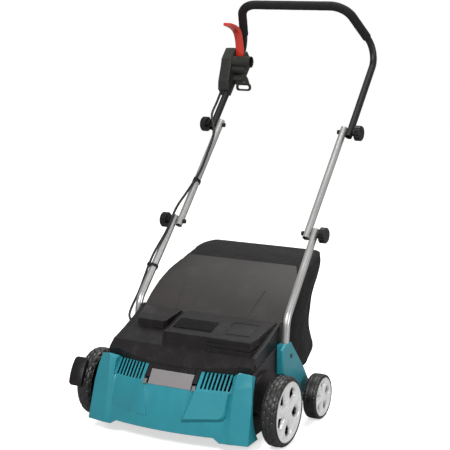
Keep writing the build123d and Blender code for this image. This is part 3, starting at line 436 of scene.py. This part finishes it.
# the handle's bends lie in one plane, whose normal keeps the rings from twisting
across = (mirrored_point(TOP_CORNER) - TOP_CORNER).cross(foam_start - TOP_CORNER).normalized()
foam_rings = []
for index, centre in enumerate(foam_line):
    ahead = (foam_line[min(index + 1, len(foam_line) - 1)] - foam_line[max(index - 1, 0)]).normalized()
    out = ahead.cross(across)
    from_end = min(index, len(foam_line) - 1 - index) * FOAM_STEP
    taper = 0.0016 * (1 - smooth_step(from_end, 0.0, 0.004))
    ring = []
    for k in range(FOAM_SIDES):
        angle = math.tau * k / FOAM_SIDES
        spoke = across * math.cos(angle) + out * math.sin(angle)
        spot = centre + spoke * FOAM_RADIUS
        lump = 0.00028 * noise.noise(spot * 55) + 0.00016 * noise.noise(spot * 260)
        seam = 0.0007 * math.exp(-((angle - SEAM_ANGLE) / 0.06) ** 2)
        ring.append(centre + spoke * (FOAM_RADIUS - taper + lump - seam))
    foam_rings.append(ring)
bore = [[centre + (point - centre).normalized() * FOAM_BORE for point in ring]
        for centre, ring in zip(foam_line[::-1], foam_rings[::-1])]
foam = new_piece("foam_sleeve", grid_mesh("foam_sleeve", foam_rings + bore, True, True), "upper_handle",
                 "foam", "foam_grip")


# ---------------------------------------------------------------- wheels
def lathe(name, side_sign, centre, profile, columns, shape=None):
    """Closed ring turned from an (x, radius) loop; shape moves each point in or out by millimetres."""
    rows = []
    for x, radius in profile:
        row = []
        for k in range(columns):
            angle = math.tau * k / columns
            r = radius + (shape(angle, x, radius) if shape else 0.0)
            row.append(at(side_sign * x, centre[0] + r * math.cos(angle), centre[1] + r * math.sin(angle)))
        rows.append(row)
    return grid_mesh(name, rows, True, True)


def tyre_profile(span, rim_radius, radius, crown, shoulder):
    """Loop round a tyre's section: bore, side walls, rounded shoulders and a slightly crowned tread."""
    middle, half = (span[0] + span[1]) / 2, (span[1] - span[0]) / 2
    loop = [(span[0] + 1, rim_radius), (span[0] + 0.2, rim_radius + 2.5)]
    steps = 34
    for k in range(steps + 1):
        across = -1 + 2 * k / steps
        x = middle + across * half
        edge = max(0.0, abs(across) * half - (half - shoulder)) / shoulder
        drop = shoulder * (1 - math.sqrt(max(0.0, 1 - edge * edge)))
        loop.append((x, radius - drop - crown * across * across))
    return loop + [(span[1] - 0.2, rim_radius + 2.5), (span[1] - 1, rim_radius)]


def front_tread(angle, x, radius):
    """Staggered six-sided blocks standing between narrow grooves, above the shoulder's radius."""
    shoulder_radius, tread_radius, middle = 82, 90, 267
    blocks_round, row_step, stretch = 22, 12.0, 0.62
    if radius < shoulder_radius:
        return 0.0
    pitch = math.tau * tread_radius / blocks_round
    u, v = angle * tread_radius, x - middle
    near = []
    for row in range(-2, 3):
        shift = 0.5 * pitch * (row % 2)
        k = round((u - shift) / pitch)
        for column in (k - 1, k, k + 1):
            near.append(math.hypot((u - shift - column * pitch) * stretch, v - row * row_step))
    near.sort()
    groove = 1 - smooth_step(near[1] - near[0], 0.9, 2.6)
    dome = 0.35 * min(1.0, near[0] / 7) ** 2
    return -2.0 * groove - dome


def rear_tread(angle, x, radius):
    """Three ribs with fine cross cuts on the outer two, above the shoulder's radius."""
    shoulder_radius, middle, groove_place, cuts_round = 54.5, 268.5, 7, 36
    if radius < shoulder_radius:
        return 0.0
    v = x - middle
    groove = sum(math.exp(-((v - place) / 0.9) ** 2) for place in (-groove_place, groove_place))
    turn = angle * cuts_round / math.tau % 1
    cut = math.exp(-((turn - 0.5) / 0.09) ** 2) * smooth_step(abs(v), 7.5, 9.0)
    return -1.3 * min(1.0, groove) - 0.9 * cut


SPOKES = 5
SPOKE_HALF = [(0.2, 0.95), (0.32, 0.62), (0.50, 0.36), (0.66, 0.34), (0.78, 0.55), (0.86, 1.0)]
WINDOW_DEPTH = 11.5
OPEN_BELOW = 9.0                  # anything sunk deeper than this is cut out as a window
CAP_WALL = 0.0016


def cap_relief(part, spread):
    """How far the cap stands out, by share of its radius and by share of the way from a spoke's middle
    to the middle of the gap beside it."""
    spoke_half = interpolate(SPOKE_HALF, part)
    gap = smooth_step(spread, spoke_half, spoke_half + 0.30 / max(part, 0.45))
    inside = smooth_step(part, 0.25, 0.31) * (1 - smooth_step(part, 0.80, 0.86))
    crease = 2.6 * max(0.0, 1 - spread / max(spoke_half, 0.1)) * smooth_step(part, 0.2, 0.4)
    crease *= 1 - smooth_step(part, 0.76, 0.88)
    dish = 2.6 * math.sin(math.pi * min(1.0, max(0.0, (part - 0.22) / 0.66)))
    hub = 1.2 * (1 - smooth_step(part, 0.15, 0.20)) - 0.9 * (1 - smooth_step(part, 0.075, 0.10))
    lip = 1.4 * smooth_step(part, 0.88, 0.905) - 3.2 * smooth_step(part, 0.955, 1.0) ** 2
    return crease + hub + lip - dish - WINDOW_DEPTH * gap * inside


def wheel_cap(name, side_sign, centre, radius, face_x, turn):
    """Dished hub cap with broad creased spokes and leaf-shaped windows between them."""
    work = bmesh.new()
    columns, rings, inner_radius = 200, 44, 0.7
    grid = []
    for ring in range(rings + 1):
        r = inner_radius + (radius - inner_radius) * ring / rings
        row = []
        for k in range(columns):
            angle = math.tau * k / columns
            to_spoke = ((angle - turn) * SPOKES / math.tau + 0.5) % 1 - 0.5
            spot = at(side_sign * (face_x + cap_relief(r / radius, abs(to_spoke) * 2)),
                      centre[0] + r * math.cos(angle), centre[1] + r * math.sin(angle))
            row.append(work.verts.new(spot))
        grid.append(row)
    for inner, outer in zip(grid, grid[1:]):
        for k in range(columns):
            after = (k + 1) % columns
            work.faces.new((inner[k], inner[after], outer[after], outer[k]))
    work.faces.new(grid[0])
    sunk = (face_x - OPEN_BELOW) / 1000
    windows = [face for face in work.faces if abs(face.calc_center_median().x) < sunk]
    bmesh.ops.delete(work, geom=windows, context="FACES")
    bmesh.ops.recalc_face_normals(work, faces=work.faces)
    mesh = bpy.data.meshes.new(name)
    work.to_mesh(mesh)
    work.free()
    return mesh


def well_profile(inner, outer, radius):
    """Loop of the black wheel body behind the cap, its black partly its own colour and partly painted shade
    seen through the cap's windows: rim band, web and hub.
    """
    return [(inner, radius - 0.2), (inner, radius - 3.5), (inner + 20, radius - 4.5), (inner + 20, 14),
            (inner + 1, 13), (inner + 1, 6.2), (outer - 5, 6.2), (outer - 5, 12), (inner + 24, 13),
            (inner + 24, radius - 4), (outer - 5, radius - 3), (outer - 4, radius - 0.2)]


WHEELS = {
    "front": {"centre": (0.0, 90.0), "radius": 90.0, "rim_radius": 79.0, "span": (246.0, 288.0),
              "tread": front_tread, "columns": 420, "crown": 3.0, "shoulder": 9.0, "turn": 0.35},
    "rear": {"centre": (226.5, 60.0), "radius": 60.0, "rim_radius": 53.0, "span": (250.0, 287.0),
             "tread": rear_tread, "columns": 432, "crown": 1.0, "shoulder": 6.0, "turn": 0.9},
}
for end_name, wheel in WHEELS.items():
    centre, rim_radius = wheel["centre"], wheel["rim_radius"]
    inner, outer = wheel["span"][0] + 1, wheel["span"][1] - 1
    tyre_loop = tyre_profile(wheel["span"], rim_radius, wheel["radius"], wheel["crown"], wheel["shoulder"])
    well_loop = well_profile(inner, outer, rim_radius)
    for side_name, sign in (("left", -1), ("right", 1)):
        body = f"{end_name}_wheel_{side_name}"
        label = f"{end_name}_{side_name}"
        tyre = lathe("tread_" + label, sign, centre, tyre_loop, wheel["columns"], wheel["tread"])
        new_piece("tread_" + label, tyre, body, "tyre_rubber", f"{end_name}_tyre_{side_name}")
        # the wheel body is black plastic: partly its own colour, partly painted shade for the dark inside of
        # the wheel seen through the cap's windows
        well = lathe("wheel_well_" + label, sign, centre, well_loop, 96)
        new_piece("wheel_well_" + label, well, body, "black_plastic", f"{end_name}_rim_{side_name}")
        face = wheel_cap("wheel_cap_" + label, sign, centre, rim_radius - 0.3, outer - 1.0, wheel["turn"])
        cap = new_piece("wheel_cap_" + label, face, body, "silver_plastic", f"{end_name}_rim_{side_name}")
        shell = cap.modifiers.new("wall", "SOLIDIFY")
        shell.thickness = CAP_WALL
        shell.offset = -1


# ---------------------------------------------------------------- rounded edges on the mouldings
SHARPEST_KEPT = math.radians(32)  # edges that turn less than this stay as they are


def soften(node, width):
    """Round a moulding's edges: merge its seams, clear flat faces of loose edges, then bevel."""
    thing = nodes[node]
    weld = thing.modifiers.new("weld", "WELD")
    weld.merge_threshold = 0.00002
    flat = thing.modifiers.new("flat", "DECIMATE")
    flat.decimate_type = "DISSOLVE"
    flat.angle_limit = math.radians(1.0)
    bevel = thing.modifiers.new("bevel", "BEVEL")
    bevel.width = width
    bevel.segments = 2
    bevel.limit_method = "ANGLE"
    bevel.angle_limit = SHARPEST_KEPT
    bevel.use_clamp_overlap = True
    bevel.harden_normals = True


EDGE_WIDTHS = {"front_hood": 0.0014, "motor_cover": 0.0014, "handle_bracket_left": 0.0012,
               "handle_bracket_right": 0.0012, "depth_lever": 0.0020, "front_panel": 0.0010,
               "trim_clips": 0.0010, "label_plate": 0.0005, "belt_cover": 0.0015,
               "switch_lever": 0.0016, "switch_box_outer": 0.0010, "switch_box_inner": 0.0010}
for node, width in EDGE_WIDTHS.items():
    soften(node, width)


# ---------------------------------------------------------------- materials
TEAL = (0.020, 0.235, 0.290)
BLACK = (0.0085, 0.0070, 0.0072)
DUST_COLOUR = (0.42, 0.40, 0.37)
COAT_ROUGHNESS = 0.12
THREAD_PITCH = 0.0013
THREAD_WOBBLE = 0.002


def node_tree(name):
    """New material, its node maker, its links and its main shader."""
    material = bpy.data.materials.new(name)
    material.use_nodes = True
    tree = material.node_tree
    shader = tree.nodes["Principled BSDF"]
    return material, tree.nodes, tree.links, shader


def texture(maker, links, kind, coordinates, **values):
    """Texture or other node with values set by input name, fed with coordinates."""
    made = maker.new(kind)
    for key, value in values.items():
        made.inputs[key.replace("_", " ")].default_value = value
    links.new(coordinates, made.inputs["Vector"])
    return made


def span(maker, links, value, low, high, new_low, new_high):
    """Map a value from one range to another, clamped."""
    mapped = maker.new("ShaderNodeMapRange")
    for key, number in (("From Min", low), ("From Max", high), ("To Min", new_low), ("To Max", new_high)):
        mapped.inputs[key].default_value = number
    links.new(value, mapped.inputs["Value"])
    return mapped.outputs["Result"]


def mix(maker, links, factor, first, second):
    """Mix two colours by a socket; each colour is three numbers or a socket."""
    mixed = maker.new("ShaderNodeMix")
    mixed.data_type = "RGBA"
    for socket, value in ((mixed.inputs[0], factor), (mixed.inputs[6], first), (mixed.inputs[7], second)):
        if isinstance(value, bpy.types.NodeSocket):
            links.new(value, socket)
        else:
            socket.default_value = (*value, 1)
    return mixed.outputs[2]


def arithmetic(maker, links, operation, first, second):
    """Result of a math node on two sockets."""
    node = maker.new("ShaderNodeMath")
    node.operation = operation
    links.new(first, node.inputs[0])
    links.new(second, node.inputs[1])
    return node.outputs[0]


def bump(maker, links, height, strength, distance, normal=None):
    """Normal roughened by a height, on top of another normal if one is given."""
    node = maker.new("ShaderNodeBump")
    node.inputs["Strength"].default_value = strength
    node.inputs["Distance"].default_value = distance
    links.new(height, node.inputs["Height"])
    if normal is not None:
        links.new(normal, node.inputs["Normal"])
    return node.outputs["Normal"]


def edge_wear_and_highlight(maker, links, rounded_normal, scuffs, amount):
    """Share of edge wear, and on the black moulding of painted edge highlight: up to amount where the rounded
    normal leaves the flat one and the scuffs are strong.
    """
    flat = maker.new("ShaderNodeNewGeometry")
    agree = maker.new("ShaderNodeVectorMath")
    agree.operation = "DOT_PRODUCT"
    links.new(rounded_normal, agree.inputs[0])
    links.new(flat.outputs["Normal"], agree.inputs[1])
    edge = span(maker, links, agree.outputs["Value"], 0.995, 0.90, 0.0, 1.0)
    return arithmetic(maker, links, "MULTIPLY", edge, span(maker, links, scuffs, 0.40, 0.62, 0.0, amount))


def finish_material(name, colour, rough, metallic=0.0, mottle=0.10, mottle_size=0.06, grain_size=0.0009,
                    grain_depth=0.00005, soft_edge=0.0007, wear_and_highlight_amount=0.0, wear_and_highlight_colour=None, coat=0.0,
                    specular=0.5, rough_swing=0.08, stretch=(1, 1, 1), dust=0.0):
    """A moulded, painted or metal surface with mottling, fine grain, rounded edges and slightly lightened
    edges: wear, and on the black moulding also a painted highlight.
    """
    material, maker, links, shader = node_tree(name)
    stretched = maker.new("ShaderNodeMapping")
    stretched.inputs["Scale"].default_value = stretch
    links.new(maker.new("ShaderNodeTexCoord").outputs["Object"], stretched.inputs["Vector"])
    place = stretched.outputs["Vector"]
    cloudy = texture(maker, links, "ShaderNodeTexNoise", place, Scale=1 / mottle_size, Detail=5.0,
                     Roughness=0.6).outputs[0]
    fine = texture(maker, links, "ShaderNodeTexNoise", place, Scale=1 / grain_size, Detail=2.0,
                   Roughness=0.5).outputs[0]
    pits = texture(maker, links, "ShaderNodeTexVoronoi", place, Scale=0.6 / grain_size).outputs["Distance"]
    scuffs = texture(maker, links, "ShaderNodeTexNoise", place, Scale=2.5 / mottle_size, Detail=8.0,
                     Roughness=0.75).outputs[0]
    rounded = maker.new("ShaderNodeBevel")
    rounded.samples = 4
    rounded.inputs["Radius"].default_value = soft_edge

    lighter = [min(1.0, c * (1 + mottle)) for c in colour]
    darker = [c * (1 - mottle) for c in colour]
    tone = mix(maker, links, span(maker, links, cloudy, 0.35, 0.65, 0.0, 1.0), darker, lighter)
    tone = mix(maker, links, span(maker, links, fine, 0.3, 0.7, 0.0, 0.35), tone, darker)
    if dust:
        tone = mix(maker, links, span(maker, links, scuffs, 0.52, 0.78, 0.0, dust), tone, DUST_COLOUR)
    # lighter edges: real wear, and on the black moulding also a painted highlight along the edges
    if wear_and_highlight_amount:
        wear_and_highlight_share = edge_wear_and_highlight(maker, links, rounded.outputs["Normal"], scuffs, wear_and_highlight_amount)
        tone = mix(maker, links, wear_and_highlight_share, tone, wear_and_highlight_colour or lighter)
    links.new(tone, shader.inputs["Base Color"])

    links.new(span(maker, links, scuffs, 0.3, 0.7, rough - rough_swing, rough + rough_swing),
              shader.inputs["Roughness"])
    shader.inputs["Metallic"].default_value = metallic
    shader.inputs["Specular IOR Level"].default_value = specular
    shader.inputs["Coat Weight"].default_value = coat
    shader.inputs["Coat Roughness"].default_value = COAT_ROUGHNESS
    grained = bump(maker, links, fine, 0.6, grain_depth, rounded.outputs["Normal"])
    links.new(bump(maker, links, pits, 0.35, grain_depth, grained), shader.inputs["Normal"])
    return material


def cloth_material(name, colour, sheen):
    """Plain-weave cloth: threads along all three directions, so every panel shows its warp and weft."""
    material, maker, links, shader = node_tree(name)
    place = maker.new("ShaderNodeTexCoord").outputs["Object"]
    wobble = texture(maker, links, "ShaderNodeTexNoise", place, Scale=60.0, Detail=2.0)
    bent = maker.new("ShaderNodeVectorMath")
    bent.operation = "MULTIPLY_ADD"
    links.new(wobble.outputs[1], bent.inputs[0])
    bent.inputs[1].default_value = (THREAD_WOBBLE, THREAD_WOBBLE, THREAD_WOBBLE)
    links.new(place, bent.inputs[2])
    total = None
    for direction in ("X", "Y", "Z"):
        threads = maker.new("ShaderNodeTexWave")
        threads.bands_direction = direction
        threads.inputs["Scale"].default_value = math.tau / THREAD_PITCH / 20
        threads.inputs["Distortion"].default_value = 0.4
        links.new(bent.outputs[0], threads.inputs["Vector"])
        height = threads.outputs[1]
        total = height if total is None else arithmetic(maker, links, "ADD", total, height)
    faded = texture(maker, links, "ShaderNodeTexNoise", place, Scale=14.0, Detail=6.0, Roughness=0.65)
    lint = texture(maker, links, "ShaderNodeTexNoise", place, Scale=700.0, Detail=3.0)
    darker = [c * 0.72 for c in colour]
    lighter = [c * 1.32 for c in colour]
    tone = mix(maker, links, span(maker, links, faded.outputs[0], 0.35, 0.68, 0.0, 1.0), darker, lighter)
    tone = mix(maker, links, span(maker, links, total, 0.6, 2.4, 0.45, 0.0), tone, darker)
    tone = mix(maker, links, span(maker, links, lint.outputs[0], 0.62, 0.75, 0.0, 0.3), tone,
               [min(1.0, c * 2.2) for c in colour])
    links.new(tone, shader.inputs["Base Color"])
    links.new(span(maker, links, faded.outputs[0], 0.3, 0.7, 0.78, 0.95), shader.inputs["Roughness"])
    shader.inputs["Specular IOR Level"].default_value = 0.25
    shader.inputs["Sheen Weight"].default_value = sheen
    shader.inputs["Sheen Roughness"].default_value = 0.45
    links.new(bump(maker, links, total, 0.7, 0.00025), shader.inputs["Normal"])
    return material


looks = {
    "teal_plastic": finish_material("teal_moulding", TEAL, 0.38, mottle=0.05, mottle_size=0.12, coat=0.05,
                                    soft_edge=0.0014, wear_and_highlight_amount=0.30, wear_and_highlight_colour=(0.07, 0.36, 0.42),
                                    specular=0.4),
    # the black moulding's lighter brownish edges are partly wear and partly a painted highlight along its
    # edges
    "black_plastic": finish_material("black_moulding", BLACK, 0.38, mottle=0.18, soft_edge=0.0012, wear_and_highlight_amount=0.55,
                                     wear_and_highlight_colour=(0.080, 0.072, 0.070), dust=0.03, specular=0.3),
    "dark_plastic": finish_material("dark_moulding", (0.052, 0.043, 0.046), 0.55, mottle=0.15, wear_and_highlight_amount=0.4,
                                    wear_and_highlight_colour=(0.11, 0.10, 0.10), dust=0.05, specular=0.3),
    "flap_plastic": finish_material("flap_moulding", (0.030, 0.0265, 0.0255), 0.46, mottle=0.08,
                                    mottle_size=0.16, soft_edge=0.0012, wear_and_highlight_amount=0.5,
                                    wear_and_highlight_colour=(0.09, 0.085, 0.08), dust=0.04, specular=0.35),
    "grey_panel": finish_material("silver_grey_panel", (0.24, 0.225, 0.23), 0.38, metallic=0.2, mottle=0.06,
                                  soft_edge=0.0009, wear_and_highlight_amount=0.3),
    "bright_trim": finish_material("bright_clip", (0.20, 0.19, 0.19), 0.32, metallic=0.4, mottle=0.08),
    "label_black": finish_material("label_gloss", (0.003, 0.003, 0.003), 0.22, mottle=0.05,
                                   grain_depth=0.00001, rough_swing=0.04, specular=0.12),
    "silver_plastic": finish_material("silver_rim_paint", (0.82, 0.82, 0.825), 0.26, metallic=0.25,
                                      mottle=0.06, grain_depth=0.00002, coat=0.25, dust=0.02),
    "tyre_rubber": finish_material("tyre_tread", (0.0130, 0.0122, 0.0116), 0.40, mottle=0.25,
                                   mottle_size=0.03, coat=0.04, rough_swing=0.12, wear_and_highlight_amount=0.2,
                                   wear_and_highlight_colour=(0.05, 0.05, 0.045), dust=0.04),
    "bare_tube": finish_material("satin_tube", (0.56, 0.56, 0.55), 0.34, metallic=0.85, mottle=0.06,
                                 grain_size=0.0006, grain_depth=0.00003, stretch=(1, 0.25, 0.25)),
    "black_tube": finish_material("powder_coat", (0.011, 0.0105, 0.0105), 0.40, mottle=0.12,
                                  grain_size=0.0011, grain_depth=0.00006, specular=0.35),
    "black_steel": finish_material("black_painted_steel", (0.010, 0.010, 0.010), 0.38, metallic=0.2,
                                   mottle=0.2, mottle_size=0.012, soft_edge=0.0005, wear_and_highlight_amount=0.5,
                                   wear_and_highlight_colour=(0.10, 0.10, 0.10), specular=0.4),
    "steel": finish_material("zinc_steel", (0.42, 0.43, 0.44), 0.34, metallic=1.0, mottle=0.14,
                             mottle_size=0.012, soft_edge=0.0004, wear_and_highlight_amount=0.4, wear_and_highlight_colour=(0.7, 0.7, 0.7)),
    "blade_steel": finish_material("blade_steel_ground", (0.33, 0.33, 0.34), 0.30, metallic=1.0, mottle=0.2,
                                   mottle_size=0.02, stretch=(1, 1, 0.3), soft_edge=0.0003, wear_and_highlight_amount=0.8,
                                   wear_and_highlight_colour=(0.7, 0.7, 0.7)),
    "motor_alloy": finish_material("cast_alloy", (0.42, 0.42, 0.42), 0.45, metallic=0.9, mottle=0.12,
                                   grain_size=0.0016, grain_depth=0.00012),
    "belt_rubber": finish_material("belt_moulding", (0.014, 0.014, 0.014), 0.7, mottle=0.2),
    "cable_rubber": finish_material("cable_sheath", (0.012, 0.0115, 0.011), 0.5, mottle=0.15,
                                    mottle_size=0.02, grain_size=0.0006, specular=0.35),
    "foam": finish_material("closed_cell_foam", (0.0125, 0.0118, 0.0118), 0.80, mottle=0.22, mottle_size=0.02,
                            grain_size=0.0013, grain_depth=0.00035, specular=0.25, soft_edge=0.001),
    "switch_plastic": finish_material("charcoal_moulding", (0.022, 0.022, 0.019), 0.44, mottle=0.15,
                                      soft_edge=0.0009, wear_and_highlight_amount=0.5, wear_and_highlight_colour=(0.09, 0.09, 0.08),
                                      specular=0.35),
    "red_plastic": finish_material("red_moulding", (0.62, 0.036, 0.018), 0.30, mottle=0.10, mottle_size=0.03,
                                   soft_edge=0.0009, coat=0.2, wear_and_highlight_amount=0.3, wear_and_highlight_colour=(0.85, 0.22, 0.12)),
    "bag_cloth": cloth_material("bag_weave", (0.0110, 0.0096, 0.0102), 0.04),
}
for part in frame["record"]["subparts"]:
    mesh = nodes[part["node"]].data
    mesh.materials.clear()
    mesh.materials.append(looks[part["material_slot"]])
for tube in cables.values():
    tube.data.materials.append(looks["cable_rubber"])
for piece, slot_name in extra_pieces:
    piece.data.materials.clear()
    piece.data.materials.append(looks[slot_name])

# ---------------------------------------------------------------- floor and light
FLOOR_GLOW = 0.62                 # the floor's own light towards the camera, which keeps it white
FLOOR_DIM = (0.42, 0.42, 0.42)    # the floor's colour as the object sees it
SKY_DIM = 0.40                    # the backdrop's strength as the object sees it

bpy.ops.mesh.primitive_plane_add(size=30, location=(0, 0, 0))
floor = bpy.context.object
floor.name = "floor"
floor_material, maker, links, shader = node_tree("studio_floor")
place = maker.new("ShaderNodeTexCoord").outputs["Object"]
speckle = texture(maker, links, "ShaderNodeTexNoise", place, Scale=6.0, Detail=4.0).outputs[0]
floor_ray = maker.new("ShaderNodeLightPath").outputs["Is Camera Ray"]
floor_tone = mix(maker, links, span(maker, links, speckle, 0.3, 0.7, 0.0, 1.0), (0.93, 0.93, 0.93),
                 (0.96, 0.96, 0.96))
links.new(mix(maker, links, floor_ray, FLOOR_DIM, floor_tone), shader.inputs["Base Color"])
links.new(span(maker, links, floor_ray, 0.0, 1.0, 0.0, FLOOR_GLOW), shader.inputs["Emission Strength"])
shader.inputs["Roughness"].default_value = 0.9
shader.inputs["Specular IOR Level"].default_value = 0.1
shader.inputs["Emission Color"].default_value = (1, 1, 1, 1)
floor.data.materials.append(floor_material)

# the backdrop is white to the camera, and dimmer as a light
world = bpy.data.worlds.new("studio")
scene.world = world
world.use_nodes = True
sky = world.node_tree
backdrop = sky.nodes["Background"]
backdrop.inputs[0].default_value = (1, 1, 1, 1)
sky_ray = sky.nodes.new("ShaderNodeLightPath").outputs["Is Camera Ray"]
sky.links.new(span(sky.nodes, sky.links, sky_ray, 0.0, 1.0, SKY_DIM, 1.0), backdrop.inputs[1])
scene.view_settings.view_transform = "Standard"


def lamp(name, place, target, size, power):
    """Soft square light aimed at a point."""
    data = bpy.data.lights.new(name, "AREA")
    data.size = size
    data.energy = power
    light = bpy.data.objects.new(name, data)
    scene.collection.objects.link(light)
    light.location = place
    light.rotation_mode = "QUATERNION"
    light.rotation_quaternion = (Vector(target) - Vector(place)).to_track_quat("-Z", "Y")


lamp("key", (0.3, -2.7, 2.5), (0, -0.1, 0.3), 0.9, 76)
lamp("fill", (2.6, -0.5, 1.0), (0, 0, 0.2), 1.2, 20)
lamp("top", (0.0, 1.0, 3.0), (0, 0, 0.3), 1.6, 60)
